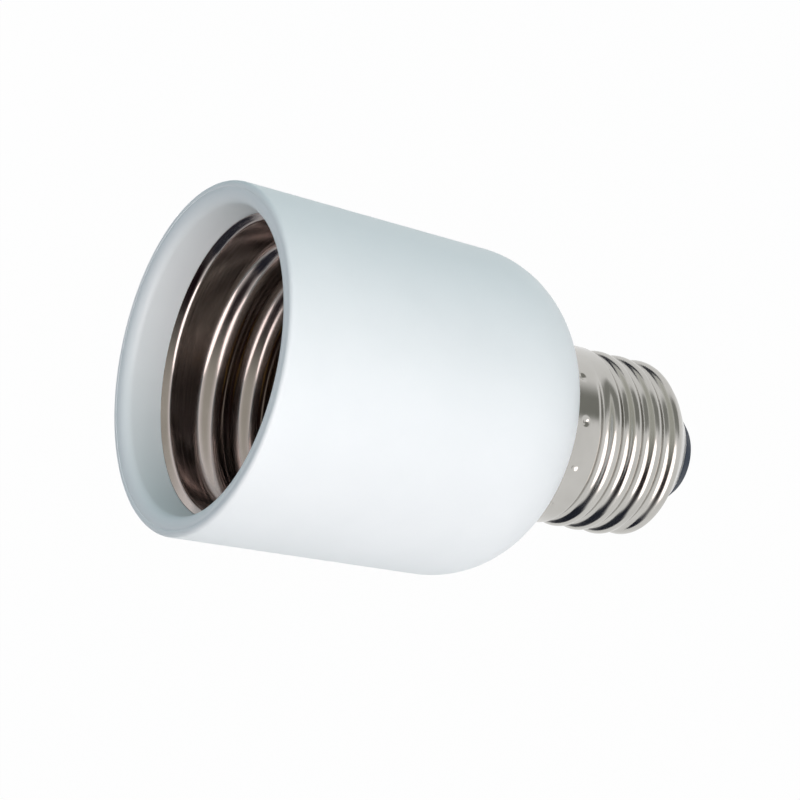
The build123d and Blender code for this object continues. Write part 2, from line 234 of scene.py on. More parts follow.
# %% Rule helpers
def new_rule(name, sizes=(), counts=()):
    """An empty shape rule with named inputs: sizes, counts and a material."""
    tree = bpy.data.node_groups.new(name, "GeometryNodeTree")
    inputs = [("Geometry", "Geometry")] + [(label, "Float") for label in sizes]
    inputs += [(label, "Int") for label in counts] + [("Material", "Material")]
    for label, kind in inputs:
        tree.interface.new_socket(label, in_out="INPUT", socket_type="NodeSocket" + kind)
    tree.interface.new_socket("Geometry", in_out="OUTPUT", socket_type="NodeSocketGeometry")
    return tree, add_node(tree, "NodeGroupInput").outputs


def close_rule(tree, geometry, given):
    """End a rule: make its instances real, set the material and give the rule back."""
    real = add_node(tree, "GeometryNodeRealizeInstances", {0: geometry})
    dressed = add_node(tree, "GeometryNodeSetMaterial", {0: real.outputs[0], "Material": given["Material"]})
    add_node(tree, "NodeGroupOutput", {0: dressed.outputs[0]})
    print("rule:", tree.name, "with", len(tree.nodes), "nodes")
    return tree


def add_rule(piece, tree, **values):
    """Put a rule on a piece; inputs are named with underscores for spaces and set by their identifiers."""
    modifier = piece.modifiers.new(tree.name, "NODES")
    modifier.node_group = tree
    for item in tree.interface.items_tree:
        label = item.name.replace(" ", "_")
        if item.in_out == "INPUT" and label in values:
            modifier[item.identifier] = values[label]


print("ready to make rules, close them and put them on pieces")

# %% Turning rule
weld = 0.001 * MM
tree, given = new_rule("turned_piece", counts=["Segments"])
rows = add_node(tree, "GeometryNodeAttributeDomainSize", {"Geometry": given["Geometry"]})
columns = add_node(tree, "ShaderNodeMath", {0: given["Segments"], 1: 1.0}).outputs[0]
grid = add_node(tree, "GeometryNodeMeshGrid", {"Vertices X": rows.outputs[0], "Vertices Y": columns})
number = add_node(tree, "GeometryNodeInputIndex").outputs[0]
ratio = add_node(tree, "ShaderNodeMath", {0: number, 1: columns}, operation="DIVIDE")
row = add_node(tree, "ShaderNodeMath", {0: ratio.outputs[0]}, operation="FLOOR")
column = add_node(tree, "ShaderNodeMath", {0: number, 1: columns}, operation="MODULO")
share = add_node(tree, "ShaderNodeMath", {0: column.outputs[0], 1: given["Segments"]}, operation="DIVIDE")
turn = add_node(tree, "ShaderNodeMath", {0: share.outputs[0], 1: math.tau}, operation="MULTIPLY")
position = add_node(tree, "GeometryNodeInputPosition").outputs[0]
point = add_node(tree, "GeometryNodeSampleIndex",
                 {0: given["Geometry"], 1: position, 2: row.outputs[0]}, data_type="FLOAT_VECTOR")
swung = add_node(tree, "ShaderNodeVectorRotate", {0: point.outputs[0], 3: turn.outputs[0]},
                 rotation_type="Z_AXIS")
wall = add_node(tree, "GeometryNodeSetPosition", {0: grid.outputs[0], "Position": swung.outputs[0]})
closed = add_node(tree, "GeometryNodeMergeByDistance", {0: wall.outputs[0], "Distance": weld})
smooth = add_node(tree, "GeometryNodeSetShadeSmooth", {0: closed.outputs[0]})
turned_rule = close_rule(tree, smooth.outputs[0], given)

# %% Outlines
same_radius = 0.01


def rounded(corners, steps=6):
    """Points of a closed outline from corners of radius, height and, if the corner is rounded, rounding."""
    points = []
    for index, corner in enumerate(corners):
        here = Vector(corner[:2])
        if len(corner) == 2:
            points.append(here)
            continue
        back = (Vector(corners[index - 1][:2]) - here).normalized()
        ahead = (Vector(corners[(index + 1) % len(corners)][:2]) - here).normalized()
        half = back.angle(ahead) / 2
        centre = here + (back + ahead).normalized() * corner[2] / math.sin(half)
        first = here + back * corner[2] / math.tan(half) - centre
        last = here + ahead * corner[2] / math.tan(half) - centre
        start = math.atan2(first.y, first.x)
        sweep = (math.atan2(last.y, last.x) - start + math.pi) % math.tau - math.pi
        for step in range(steps + 1):
            angle = start + sweep * step / steps
            points.append(centre + Vector((math.cos(angle), math.sin(angle))) * corner[2])
    return points


def fine(points, longest, *walls):
    """The same outline, with its runs on walls of the given radii cut to a longest length."""
    divided = []
    for here, ahead in zip(points, points[1:] + points[:1]):
        parts = 1
        if any(max(abs(here.x - wall), abs(ahead.x - wall)) < same_radius for wall in walls):
            parts = math.ceil((ahead - here).length / longest)
        divided += [here.lerp(ahead, part / parts) for part in range(parts)]
    return divided


print("a rounded corner takes", len(rounded([(1, 0), (2, 0, 0.5), (2, 1)])) - 2, "points")

# %% Turned pieces, and settling a finished one
sharp_bend = math.radians(35)


def turned(name, points, segments, finish):
    """A turned piece from an outline in mm; it stays a rule until it is settled."""
    loop = [(p.x * MM, 0, p.y * MM) for p in points + points[:1]]
    mesh = bpy.data.meshes.new(name)
    mesh.from_pydata(loop, [(i, i + 1) for i in range(len(points))], [])
    piece = bpy.data.objects.new(name, mesh)
    scene.collection.objects.link(piece)
    add_rule(piece, turned_rule, Segments=segments, Material=finish)
    return piece


def settle(piece, node, body, shift=(0, 0, 0)):
    """Turn a piece's rules into a plain closed mesh that stands for a solid of the frame."""
    evaluated = piece.evaluated_get(bpy.context.evaluated_depsgraph_get())
    mesh = bpy.data.meshes.new_from_object(evaluated)
    piece.modifiers.clear()
    piece.data = mesh
    shape = bmesh.new()
    shape.from_mesh(mesh)
    bmesh.ops.translate(shape, verts=shape.verts, vec=Vector(shift) * MM)
    bmesh.ops.remove_doubles(shape, verts=shape.verts, dist=weld)
    bmesh.ops.recalc_face_normals(shape, faces=shape.faces)
    shape.to_mesh(mesh)
    shape.free()
    mesh.set_sharp_from_angle(angle=sharp_bend)
    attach(piece, body)
    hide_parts(node)
    triangles = sum(len(face.vertices) - 2 for face in mesh.polygons)
    print("piece:", piece.name, "for", node, "with", triangles, "triangles")


print("edges are sharp from", round(math.degrees(sharp_bend)), "degrees")

# %% [markdown]
# ## White body
# One moulding: a cup with a slight taper, a big round shoulder and, out of sight, the spigot that the small
# shell is punched onto. A mould leaves no sharp edge, so most corners of the outline have their own rounding.
# The rim has a fine bead along its outer edge, with a shallow line inside it, and its inner edge is rounded
# most, because the lamp is guided in over it.

# %% White body
neck_z = 27.48
neck_radius = 13.3
shoulder_z = 41.08
shoulder_radius = 23.4
shoulder_arc = 14.206
shoulder_steps = 32
mouth_z = 79.98
ledge_z = 38.48
bore_radius = 20.8
recess_radius = 21.05
spigot_bore = 9.2
neck_turn = math.acos((neck_radius - shoulder_radius + shoulder_arc) / shoulder_arc)
shoulder = []
for step in range(shoulder_steps + 1):
    angle = neck_turn * (step / shoulder_steps - 1)
    shoulder.append((shoulder_radius - shoulder_arc + shoulder_arc * math.cos(angle),
                     shoulder_z + shoulder_arc * math.sin(angle)))
outside = [(spigot_bore, 13.88, 0.3), (11.6, 13.88, 0.5), (11.6, 22.48), (12.35, 23.23), (12.35, neck_z)]
rim_bead = [(24.2, mouth_z, 0.6), (23.35, mouth_z, 0.05), (23.25, mouth_z - 0.1, 0.05), (22.85, mouth_z)]
recess = [(recess_radius, 74.1), (recess_radius, 72.9), (bore_radius, 72.9)]
mouth = rim_bead + [(21.2, mouth_z - 0.02, 1.6)] + recess
inside = [(bore_radius, ledge_z, 0.4), (18.8, ledge_z, 0.3), (18.8, 34.96, 1.5), (15.4, 31.44, 1.5),
          (spigot_bore, 29.13, 0.8)]
white_body = turned("white_body", rounded(outside + shoulder + mouth + inside), 256, white_moulding)
settle(white_body, "housing", "adapter")

# %% [markdown]
# ## A rule for rolled threads
# The shells get their screw thread by rolling: a wheel presses a rounded groove into the turned wall while
# the shell spins, so the section is a wave of equal arcs, and the groove climbs one pitch for each turn.
# Lamp threads are right handed. The rule pushes the wall in or out by that wave and leaves every other wall
# of the piece alone. Where the wheel comes on and lifts off, the thread runs out along its own line: a
# ridge sinks into the wall, or a groove fills up to the crests. So the rule finds the ridge and the groove
# that a point belongs to, and fades them by their own heights, not by the point's.

# %% Finding and pushing the wall
wall_play = 0.03 * MM


def about_axis(tree):
    """Flat position, radius, angle and height of a point about the Z axis."""
    position = add_node(tree, "GeometryNodeInputPosition").outputs[0]
    axes = add_node(tree, "ShaderNodeSeparateXYZ", {0: position}).outputs
    flat = add_node(tree, "ShaderNodeCombineXYZ", {0: axes[0], 1: axes[1]}).outputs[0]
    radius = add_node(tree, "ShaderNodeVectorMath", {0: flat}, operation="LENGTH").outputs["Value"]
    angle = add_node(tree, "ShaderNodeMath", {0: axes[1], 1: axes[0]}, operation="ARCTAN2").outputs[0]
    return flat, radius, angle, axes[2]


def push_wall(tree, given, flat, radius, *factors):
    """Move the points of the wall straight out by the product of some factors, and close the rule."""
    on_wall = add_node(tree, "ShaderNodeMath", {0: radius, 1: given["Wall Radius"], 2: wall_play},
                       operation="COMPARE")
    push = on_wall.outputs[0]
    for factor in factors:
        push = add_node(tree, "ShaderNodeMath", {0: push, 1: factor}, operation="MULTIPLY").outputs[0]
    outwards = add_node(tree, "ShaderNodeVectorMath", {0: flat}, operation="NORMALIZE")
    offset = add_node(tree, "ShaderNodeVectorMath", {0: outwards.outputs[0], "Scale": push},
                      operation="SCALE")
    pushed = add_node(tree, "GeometryNodeSetPosition", {0: given["Geometry"], "Offset": offset.outputs[0]})
    return close_rule(tree, pushed.outputs[0], given)


print("a point counts as on the wall within", wall_play / MM, "mm")

# %% Wave of the thread
tree, given = new_rule("rolled_thread", ["Pitch", "Depth", "Roll Radius", "Wall Radius", "Crest Height",
                                         "Low Start", "Low Full", "High Full", "High End", "Groove Full",
                                         "Groove End", "Outward"])
flat, radius, angle, level = about_axis(tree)
half_turns = add_node(tree, "ShaderNodeMath", {0: angle, 1: math.pi}, operation="DIVIDE").outputs[0]
above = add_node(tree, "ShaderNodeMath", {0: level, 1: given["Crest Height"]}, operation="SUBTRACT")
pitches = add_node(tree, "ShaderNodeMath", {0: above.outputs[0], 1: given["Pitch"]}, operation="DIVIDE")
climb = add_node(tree, "ShaderNodeMath", {0: pitches.outputs[0], 1: 2.0, 2: 1.0}, operation="MULTIPLY_ADD")
phase = add_node(tree, "ShaderNodeMath", {0: climb.outputs[0], 1: half_turns}, operation="SUBTRACT")
wave = add_node(tree, "ShaderNodeMath", {0: phase.outputs[0], 1: 1.0}, operation="PINGPONG").outputs[0]
rest = add_node(tree, "ShaderNodeMath", {0: 1.0, 1: wave}, operation="SUBTRACT")
near = add_node(tree, "ShaderNodeMath", {0: wave, 1: rest.outputs[0]}, operation="MINIMUM")
span = add_node(tree, "ShaderNodeMath", {0: given["Pitch"], 1: 0.5}, operation="MULTIPLY")
away = add_node(tree, "ShaderNodeMath", {0: near.outputs[0], 1: span.outputs[0]}, operation="MULTIPLY")
away_2 = add_node(tree, "ShaderNodeMath", {0: away.outputs[0], 1: 2.0}, operation="POWER")
roll_2 = add_node(tree, "ShaderNodeMath", {0: given["Roll Radius"], 1: 2.0}, operation="POWER")
leg_2 = add_node(tree, "ShaderNodeMath", {0: roll_2.outputs[0], 1: away_2.outputs[0]}, operation="SUBTRACT")
leg = add_node(tree, "ShaderNodeMath", {0: leg_2.outputs[0]}, operation="SQRT")
arc = add_node(tree, "ShaderNodeMath", {0: given["Roll Radius"], 1: leg.outputs[0]}, operation="SUBTRACT")
crown = add_node(tree, "ShaderNodeMath", {0: given["Depth"], 1: arc.outputs[0]}, operation="SUBTRACT")
is_crest = add_node(tree, "ShaderNodeMath", {0: wave, 1: 0.5}, operation="GREATER_THAN")
height = add_node(tree, "ShaderNodeMix", {0: is_crest.outputs[0], 2: arc.outputs[0], 3: crown.outputs[0]})
print("wave:", len(tree.nodes), "nodes so far")

# %% Run-out of the thread
turns = add_node(tree, "ShaderNodeMath", {0: phase.outputs[0], 1: 0.5}, operation="MULTIPLY").outputs[0]
ridge = add_node(tree, "ShaderNodeMath", {0: turns}, operation="FLOOR")
into = add_node(tree, "ShaderNodeMath", {0: turns, 1: ridge.outputs[0]}, operation="SUBTRACT")
aside = add_node(tree, "ShaderNodeMath", {0: into.outputs[0], 1: 0.5}, operation="SUBTRACT")
rise = add_node(tree, "ShaderNodeMath", {0: aside.outputs[0], 1: given["Pitch"]}, operation="MULTIPLY")
ridge_z = add_node(tree, "ShaderNodeMath", {0: level, 1: rise.outputs[0]}, operation="SUBTRACT").outputs[0]
low = add_node(tree, "ShaderNodeMapRange", {0: ridge_z, 1: given["Low Start"], 2: given["Low Full"]},
               interpolation_type="SMOOTHSTEP")
high = add_node(tree, "ShaderNodeMapRange", {0: ridge_z, 1: given["High End"], 2: given["High Full"]},
                interpolation_type="SMOOTHSTEP")
ridges = height.outputs[0]
for factor in (low.outputs[0], high.outputs[0]):
    ridges = add_node(tree, "ShaderNodeMath", {0: ridges, 1: factor}, operation="MULTIPLY").outputs[0]
groove = add_node(tree, "ShaderNodeMath", {0: turns}, operation="ROUND")
beyond = add_node(tree, "ShaderNodeMath", {0: turns, 1: groove.outputs[0]}, operation="SUBTRACT")
rise = add_node(tree, "ShaderNodeMath", {0: beyond.outputs[0], 1: given["Pitch"]}, operation="MULTIPLY")
groove_z = add_node(tree, "ShaderNodeMath", {0: level, 1: rise.outputs[0]}, operation="SUBTRACT").outputs[0]
pressed = add_node(tree, "ShaderNodeMapRange", {0: groove_z, 1: given["Groove End"], 2: given["Groove Full"]},
                   interpolation_type="SMOOTHSTEP")
filled = add_node(tree, "ShaderNodeMix", {0: pressed.outputs[0], 2: given["Depth"], 3: ridges})
thread_rule = push_wall(tree, given, flat, radius, filled.outputs[0], given["Outward"])


def roll_thread(piece, finish, outward, **sizes):
    """Roll a thread, with its sizes in mm, into the wall of a turned piece."""
    sizes["Roll_Radius"] = ((sizes["Pitch"] / 4) ** 2 + (sizes["Depth"] / 2) ** 2) / sizes["Depth"]
    in_metres = {label: size * MM for label, size in sizes.items()}
    add_rule(piece, thread_rule, Outward=outward, Material=finish, **in_metres)
    print("thread:", piece.name, "pitch", sizes["Pitch"], "roll radius", round(sizes["Roll_Radius"], 3))


# %% [markdown]
# ## Large screw shell
# The shell that takes the lamp is thin nickel plated sheet with a coarse thread pressed inwards, a front
# edge that flares out to the body and a flange at the bottom that the screws hold down. Only its inner wall
# is seen, so the thread is rolled into that wall alone, and the outer wall stays a plain cylinder in the
# body's bore.

# %% Large screw shell
front_z = 74.18
sheet_metal = 0.5
disc_z = 41.98
flange_z = disc_z + sheet_metal
flange_bore = 13.2
root_radius = 19.95
flange = [(flange_bore, disc_z), (20.4, disc_z), (20.4, front_z - 1.2, 0.3), (21.0, front_z - 0.6, 0.2)]
flare = [(21.0, front_z, 0.1), (20.85, front_z, 0.1), (root_radius, front_z - 0.8, 1.0)]
bottom = [(root_radius, flange_z, 1.0), (flange_bore, flange_z, 0.2)]
outline = fine(rounded(flange + flare + bottom), 0.22, root_radius)
large_shell = turned("large_shell", outline, 320, thin_nickel)
roll_thread(large_shell, thin_nickel, outward=-1.0, Pitch=6.35, Depth=1.5, Wall_Radius=root_radius,
            Crest_Height=64.4, Low_Start=45.2, Low_Full=47.4, High_Full=67.8, High_End=70.4,
            Groove_Full=mouth_z, Groove_End=mouth_z + 1)
settle(large_shell, "socket_shell", "adapter")

# %% [markdown]
# ## A rule for punch marks
# The small shell is fixed by a ring of punch marks, each pressing the sheet into the moulding below it.
# They sit at equal steps round the skirt, so one rule makes them all: it finds the nearest mark and dents
# the wall by the distance from it.

# %% Punch mark rule
tree, given = new_rule("punch_marks", ["Mark Height", "Mark Radius", "Mark Depth", "First Angle",
                                       "Wall Radius"], ["Marks"])
flat, radius, angle, level = about_axis(tree)
past = add_node(tree, "ShaderNodeMath", {0: angle, 1: given["First Angle"]}, operation="SUBTRACT")
half_step = add_node(tree, "ShaderNodeMath", {0: math.pi, 1: given["Marks"]}, operation="DIVIDE").outputs[0]
before = add_node(tree, "ShaderNodeMath", {0: 0.0, 1: half_step}, operation="SUBTRACT").outputs[0]
beside = add_node(tree, "ShaderNodeMath", {0: past.outputs[0], 1: half_step, 2: before}, operation="WRAP")
across = add_node(tree, "ShaderNodeMath", {0: beside.outputs[0], 1: given["Wall Radius"]},
                  operation="MULTIPLY")
up = add_node(tree, "ShaderNodeMath", {0: level, 1: given["Mark Height"]}, operation="SUBTRACT")
apart = add_node(tree, "ShaderNodeCombineXYZ", {0: across.outputs[0], 1: up.outputs[0]})
distance = add_node(tree, "ShaderNodeVectorMath", {0: apart.outputs[0]}, operation="LENGTH")
dent = add_node(tree, "ShaderNodeMapRange", {0: distance.outputs["Value"], 1: given["Mark Radius"], 2: 0.0},
                interpolation_type="SMOOTHSTEP")
inward = add_node(tree, "ShaderNodeMath", {0: 0.0, 1: given["Mark Depth"]}, operation="SUBTRACT")
punch_rule = push_wall(tree, given, flat, radius, inward.outputs[0], dent.outputs[0])

# %% [markdown]
# ## Small screw shell
# The cap that goes into the lamp holder: the same plated sheet, here with a finer thread, a plain skirt as
# wide as the crests next to the body, and an end turned in over the black insulator. The last groove fills
# up before it reaches the skirt. The thread comes first and the punch marks second, as on the bench.

# %% Small screw shell
root_radius = 12.1
ridge_height = 1.0
lip_radius = 8.0
outer = [(lip_radius, 2.9, 0.12), (root_radius, 7.0, 1.0), (root_radius, neck_z)]
inner = [(12.4, neck_z), (12.4, 22.4), (11.75, 21.3), (11.75, 7.15), (lip_radius, 3.4)]
small_shell = turned("small_shell", fine(rounded(outer + inner), 0.14, root_radius), 360, nickel)
roll_thread(small_shell, nickel, outward=1.0, Pitch=3.62, Depth=ridge_height, Wall_Radius=root_radius,
            Crest_Height=20.0, Low_Start=6.6, Low_Full=8.2, High_Full=neck_z, High_End=neck_z + 1,
            Groove_Full=21.0, Groove_End=21.5)
add_rule(small_shell, punch_rule, Marks=12, Mark_Height=25.05 * MM, Mark_Radius=0.75 * MM,
         Mark_Depth=0.3 * MM, First_Angle=math.radians(10.4), Wall_Radius=(root_radius + ridge_height) * MM,
         Material=nickel)
settle(small_shell, "cap_shell", "adapter")

# %% [markdown]
# ## Tip of the small cap
# Black glass fills the end of the cap round a brass plate, whose hollow stem takes the live wire. The wire
# is soldered there, and the solder stands out as a bead. All three are turned, with the roundings of a
# pressed plate and of glass that has flowed into a mould.

# %% Insulator, tip plate and solder bead
plate_z = 0.35
seat_z = plate_z + 0.4
edge_z = seat_z - 0.35
web_z = 6.5
glass = [(1.75, seat_z), (4.85, seat_z), (4.85, edge_z, 0.1), (6.0, edge_z, 0.3), (7.92, 2.8, 0.3),
         (7.92, 3.4), (11.7, 7.18), (11.7, 9.54, 0.2), (9.5, 9.54, 0.2), (9.5, web_z), (1.75, web_z)]
insulator = turned("black_insulator", rounded(glass), 128, black_glass)
settle(insulator, "cap_insulator", "adapter")
plate = [(1.2, plate_z), (4.8, plate_z, 0.15), (4.8, seat_z), (1.7, seat_z), (1.7, web_z), (2.3, web_z),
         (2.3, web_z + 0.5), (1.2, web_z + 0.5)]
settle(turned("tip_plate", rounded(plate), 96, brass), "cap_contact", "adapter")
bead_radius = 2.4
core_radius = 1.15
core_z = 2.2
bead = []
for degrees in range(0, 91, 9):
    lean = math.radians(degrees)
    bead.append(Vector((bead_radius * math.sin(lean), plate_z * (1 - math.cos(lean)))))
bead += [Vector((core_radius, plate_z)), Vector((core_radius, core_z)), Vector((0.0, core_z))]
settle(turned("solder_bead", bead, 64, solder), "tip_solder", "adapter")

# %% [markdown]
# ## Base and contact in the bottom of the socket
# Looking into the mouth, the shell stands on a brown disc with a raised island. The centre contact is a
# brass leaf riveted to the island at one end, with a button headed over in the free end. The lamp presses
# the button down, so the button rides on its own body. The leaf flattens with it in the real socket, but here
# it stays fixed to the adapter.

# %% Base disc, rivets and button
island_z = 43.18
disc = [(0.0, ledge_z), (20.5, ledge_z), (20.5, disc_z, 0.2), (12.0, disc_z, 0.3), (12.0, island_z, 0.4),
        (0.0, island_z)]
settle(turned("base_disc", rounded(disc), 160, phenolic), "contact_base", "adapter")


def rivet(name, low, high):
    """A headed rivet that clamps everything between two heights."""
    head = 0.8
    heads = [(0.0, low - head), (2.0, low - head, 0.35), (2.4, low, 0.1), (1.4, low), (1.4, high)]
    heads += [(2.4, high, 0.1), (2.0, high + head, 0.5), (0.0, high + head)]
    return turned(name, rounded(heads), 64, brass)


tag_z = ledge_z - sheet_metal
fixing_radius = 15.6
spring_rivet = rivet("spring_rivet", tag_z, island_z + sheet_metal)
settle(spring_rivet, "contact_rivet", "adapter", (-8.5, 0, 0))
flange_rivet = rivet("flange_rivet", tag_z, flange_z)
settle(flange_rivet, "shell_rivet", "adapter", (0, -fixing_radius, 0))
leaf_z = island_z + 2.4
top_z = leaf_z + sheet_metal
button = [(0.0, leaf_z - 0.5), (1.8, leaf_z - 0.5, 0.2), (1.8, leaf_z), (1.2, leaf_z), (1.2, top_z),
          (3.2, top_z, 0.1), (3.2, top_z + 1.2, 0.3), (2.2, top_z + 1.6, 1.0), (0.0, top_z + 1.6)]
settle(turned("press_button", rounded(button), 96, brass), "contact_button", "contact")

# %% [markdown]
# ## A rule for the bent leaf
# The leaf is a strip of sheet that follows a bent line, with rounded ends. The rule rounds the bends of the
# line, lays a grid along it, and narrows the grid towards each end by a quarter circle. Solidify then gives
# the sheet its thickness, and a small bevel takes the edge off.

# %% Leaf rule
tree, given = new_rule("bent_strip", ["Width", "Bend Radius", "End Radius"])
line = add_node(tree, "GeometryNodeMeshToCurve", {0: given["Geometry"]})
bent = add_node(tree, "GeometryNodeFilletCurve",
                {0: line.outputs[0], "Count": 8, "Radius": given["Bend Radius"]}, mode="POLY").outputs[0]
length = add_node(tree, "GeometryNodeCurveLength", {0: bent}).outputs[0]
grid = add_node(tree, "GeometryNodeMeshGrid",
                {"Size X": length, "Size Y": 1.0, "Vertices X": 97, "Vertices Y": 9})
position = add_node(tree, "GeometryNodeInputPosition").outputs[0]
axes = add_node(tree, "ShaderNodeSeparateXYZ", {0: position}).outputs
half = add_node(tree, "ShaderNodeMath", {0: length, 1: 0.5}, operation="MULTIPLY").outputs[0]
along = add_node(tree, "ShaderNodeMath", {0: axes[0], 1: half}).outputs[0]
spot = add_node(tree, "GeometryNodeSampleCurve", {0: bent, "Length": along}, mode="LENGTH")
offset = add_node(tree, "ShaderNodeMath", {0: axes[0]}, operation="ABSOLUTE")
inset = add_node(tree, "ShaderNodeMath", {0: half, 1: given["End Radius"]}, operation="SUBTRACT")
into = add_node(tree, "ShaderNodeMath", {0: offset.outputs[0], 1: inset.outputs[0]}, operation="SUBTRACT")
into_end = add_node(tree, "ShaderNodeMath", {0: into.outputs[0], 1: 0.0}, operation="MAXIMUM")
into_2 = add_node(tree, "ShaderNodeMath", {0: into_end.outputs[0], 1: 2.0}, operation="POWER")
end_2 = add_node(tree, "ShaderNodeMath", {0: given["End Radius"], 1: 2.0}, operation="POWER")
leg_2 = add_node(tree, "ShaderNodeMath", {0: end_2.outputs[0], 1: into_2.outputs[0]}, operation="SUBTRACT")
leg = add_node(tree, "ShaderNodeMath", {0: leg_2.outputs[0]}, operation="SQRT")
cut = add_node(tree, "ShaderNodeMath", {0: given["End Radius"], 1: leg.outputs[0]}, operation="SUBTRACT")
twice = add_node(tree, "ShaderNodeMath", {0: cut.outputs[0], 1: 2.0}, operation="MULTIPLY")
wide = add_node(tree, "ShaderNodeMath", {0: given["Width"], 1: twice.outputs[0]}, operation="SUBTRACT")
sideways = add_node(tree, "ShaderNodeMath", {0: axes[1], 1: wide.outputs[0]}, operation="MULTIPLY")
aside = add_node(tree, "ShaderNodeCombineXYZ", {1: sideways.outputs[0]})
laid = add_node(tree, "ShaderNodeVectorMath", {0: spot.outputs["Position"], 1: aside.outputs[0]})
sheet = add_node(tree, "GeometryNodeSetPosition", {0: grid.outputs[0], "Position": laid.outputs[0]})
strip_rule = close_rule(tree, sheet.outputs[0], given)

# %% Leaf spring
low_z = island_z + sheet_metal / 2
high_z = leaf_z + sheet_metal / 2
bends = [(-10.9, low_z), (-5.7, low_z), (-2.6, high_z), (4.5, high_z)]
mesh = bpy.data.meshes.new("leaf_spring")
mesh.from_pydata([(x * MM, 0, z * MM) for x, z in bends], [(0, 1), (1, 2), (2, 3)], [])
leaf_spring = bpy.data.objects.new("leaf_spring", mesh)
scene.collection.objects.link(leaf_spring)
add_rule(leaf_spring, strip_rule, Width=8 * MM, Bend_Radius=1.2 * MM, End_Radius=2.4 * MM, Material=brass)
sheet = leaf_spring.modifiers.new("sheet", "SOLIDIFY")
sheet.thickness = sheet_metal * MM
sheet.offset = 0
edge = leaf_spring.modifiers.new("edge", "BEVEL")
edge.width = 0.08 * MM
edge.segments = 2
settle(leaf_spring, "contact_spring", "adapter")
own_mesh(leaf_spring)

# %% [markdown]
# ## Screws
# Two slotted screws hold the shell and the disc down. A rule cuts the slot out of one turned screw and sets
# a copy at each end of a line across the axis. Nobody lines up screw slots, so each copy has its own turn,
# from a fixed seed.

# %% Screw rule
tree, given = new_rule("slotted_screws", ["Slot Width", "Slot Depth", "Head Height", "Reach"], ["Seed"])
slot_length = 6 * MM
size = add_node(tree, "ShaderNodeCombineXYZ",
                {0: slot_length, 1: given["Slot Width"], 2: given["Slot Depth"]})
cutter = add_node(tree, "GeometryNodeMeshCube", {"Size": size.outputs[0]})
place = add_node(tree, "ShaderNodeCombineXYZ", {2: given["Head Height"]})
sunk = add_node(tree, "GeometryNodeTransform", {0: cutter.outputs[0], "Translation": place.outputs[0]})
slotted = add_node(tree, "GeometryNodeMeshBoolean", {0: given["Geometry"], 1: sunk.outputs[0]},
                   operation="DIFFERENCE", solver="EXACT")
back = add_node(tree, "ShaderNodeMath", {0: given["Reach"], 1: -1.0}, operation="MULTIPLY")
first = add_node(tree, "ShaderNodeCombineXYZ", {0: back.outputs[0]})
last = add_node(tree, "ShaderNodeCombineXYZ", {0: given["Reach"]})
pair = add_node(tree, "GeometryNodeMeshLine",
                {"Count": 2, "Start Location": first.outputs[0], "Offset": last.outputs[0]},
                mode="END_POINTS")
spin = add_node(tree, "FunctionNodeRandomValue", {2: 0.0, 3: math.pi, "Seed": given["Seed"]})
facing = add_node(tree, "ShaderNodeCombineXYZ", {2: spin.outputs[1]})
screws = add_node(tree, "GeometryNodeInstanceOnPoints",
                  {"Points": pair.outputs[0], "Instance": slotted.outputs[0], "Rotation": facing.outputs[0]})
screw_rule = close_rule(tree, screws.outputs[0], given)

# %% Clamp screws
head_z = 44.28
end_z = 32.48
screw = [(0.0, end_z), (1.0, end_z), (1.5, 33.2), (1.5, flange_z), (2.3, flange_z), (2.3, head_z, 0.6),
         (0.0, head_z)]
clamp_screws = turned("clamp_screws", rounded(screw), 64, zinc)
add_rule(clamp_screws, screw_rule, Seed=4, Slot_Width=0.8 * MM, Slot_Depth=1.6 * MM, Head_Height=head_z * MM,
         Reach=fixing_radius * MM, Material=zinc)
settle(clamp_screws, "base_screws", "adapter")

# %% [markdown]
# ## Wires and tags
# The solder tags and the two inner leads are out of sight in the closed body. Their solids are right as
# they are, so they stay and only get a finish: brass for the tags, and for each lead a sleeve that stops
# short of the bare copper at both ends.

# %% Leads and tags
def lead_finish(name, dark, light, low, high):
    """Soft sleeve between two heights in mm, bare copper beyond them."""
    material, tree, shader, place = new_finish(name)
    haze = add_node(tree, "ShaderNodeTexNoise", {"Vector": place, "Scale": 1 / (1.5 * MM), "Detail": 3.0})
    sleeve = add_node(tree, "ShaderNodeMix", {0: haze.outputs[0], 6: linear(dark), 7: linear(light)},
                      data_type="RGBA")
    height = add_node(tree, "ShaderNodeSeparateXYZ", {0: place}).outputs["Z"]
    covered = add_node(tree, "ShaderNodeMath",
                       {0: height, 1: (low + high) / 2 * MM, 2: (high - low) / 2 * MM}, operation="COMPARE")
    colour = add_node(tree, "ShaderNodeMix",
                      {0: covered.outputs[0], 6: linear("#C98A5E"), 7: sleeve.outputs[2]}, data_type="RGBA")
    metal = add_node(tree, "ShaderNodeMath", {0: 1.0, 1: covered.outputs[0]}, operation="SUBTRACT")
    gloss = add_node(tree, "ShaderNodeMapRange", {0: haze.outputs[0], 1: 0.3, 2: 0.7, 3: 0.35, 4: 0.5})
    tree.links.new(colour.outputs[2], shader.inputs["Base Color"])
    tree.links.new(metal.outputs[0], shader.inputs["Metallic"])
    tree.links.new(gloss.outputs[0], shader.inputs["Roughness"])
    return material


sleeve_top = 31.08
hidden = {
    "live_lead": lead_finish("brown_sleeve_on_copper", "#4A2C1C", "#5E3A26", 9.5, sleeve_top),
    "neutral_lead": lead_finish("blue_sleeve_on_copper", "#1F3F86", "#2C55A6", 17.98, sleeve_top),
    "contact_tag": brass,
    "shell_tag": brass,
}
for node, finish in hidden.items():
    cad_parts[node].data.materials.clear()
    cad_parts[node].data.materials.append(finish)
print("dressed in place:", ", ".join(hidden))

